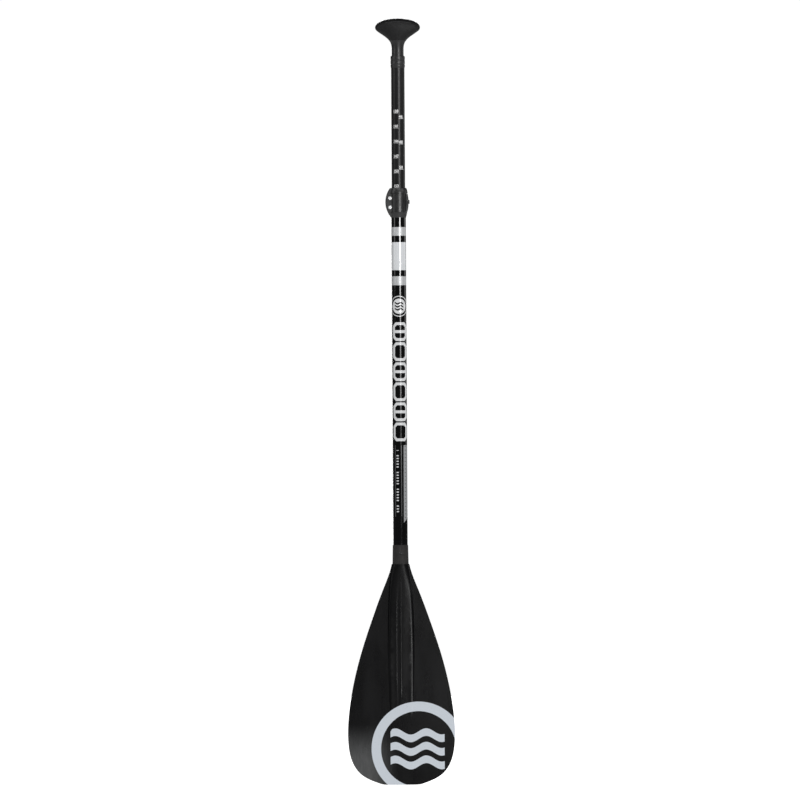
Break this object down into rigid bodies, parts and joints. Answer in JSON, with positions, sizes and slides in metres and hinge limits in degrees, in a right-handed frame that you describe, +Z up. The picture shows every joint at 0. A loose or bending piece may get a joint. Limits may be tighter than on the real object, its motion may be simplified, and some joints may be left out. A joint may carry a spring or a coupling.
{
  "type": "single blade paddle",
  "caption": "Single blade stand-up paddle with telescopic tubular shaft, cam lever clamp, raked teardrop blade and palm grip.",
  "frame": {"origin": "on the axis of the lower tube, 800 mm above the tip of the blade, where a rack clip holds the shaft", "axes": "+Z up the shaft towards the palm grip, -Y out of the printed face (the blade leans towards -Y), +X to the right of that face"},
  "size_m": [0.214, 0.0888, 1.5331],
  "materials": {
    "blade_nylon": "satin moulded black nylon",
    "sleeve_rubber": "matte shrink sleeve",
    "dark_rivet": "black coated",
    "gloss_tube": "gloss black lacquer with printed bands",
    "float_foam": "closed-cell foam",
    "clamp_nylon": "satin moulded black nylon",
    "wiper_rubber": "matte",
    "stainless_screw": "polished stainless steel",
    "cam_steel": "turned stainless steel",
    "lever_nylon": "satin moulded black nylon",
    "glide_plastic": "acetal",
    "satin_tube": "satin black anodised, with a printed length scale",
    "ferrule_plastic": "semi-gloss",
    "grip_nylon": "semi-gloss",
    "grip_rubber": "fine diamond texture",
    "cap_plastic": "smooth semi-gloss"
  },
  "bodies": {
    "shaft": {"blade": "blade_nylon", "neck_sleeve": "sleeve_rubber", "neck_rivets": "dark_rivet", "lower_shaft": "gloss_tube", "shaft_float": "float_foam", "clamp_collar": "clamp_nylon", "wiper_ring": "wiper_rubber", "clamp_screws": "stainless_screw", "cam_pad": "cam_steel", "lever_axle": "cam_steel"},
    "lever": {"clamp_lever": "lever_nylon"},
    "glide": {"glide_ring": "glide_plastic"},
    "extension": {"extension_tube": "satin_tube", "extension_foot": "glide_plastic", "extension_float": "float_foam", "grip_ferrule": "ferrule_plastic", "grip_pin": "dark_rivet", "grip_core": "grip_nylon", "grip_cover": "grip_rubber", "grip_cap": "cap_plastic"}
  },
  "joints": [
    {"name": "extension_slide", "type": "slide", "parent": "shaft", "child": "glide", "axis": [0, 0, 1], "range_m": [-0.235, 0.29]},
    {"name": "extension_twist", "type": "hinge", "parent": "glide", "child": "extension", "pos_m": [0, 0, 0.3], "axis": [0, 0, 1], "continuous": true},
    {"name": "clamp_lever_hinge", "type": "hinge", "parent": "shaft", "child": "lever", "pos_m": [-0.017, 0.0176, 0.3633], "axis": [0, 0, 1], "range_deg": [0, 130]}
  ]
}
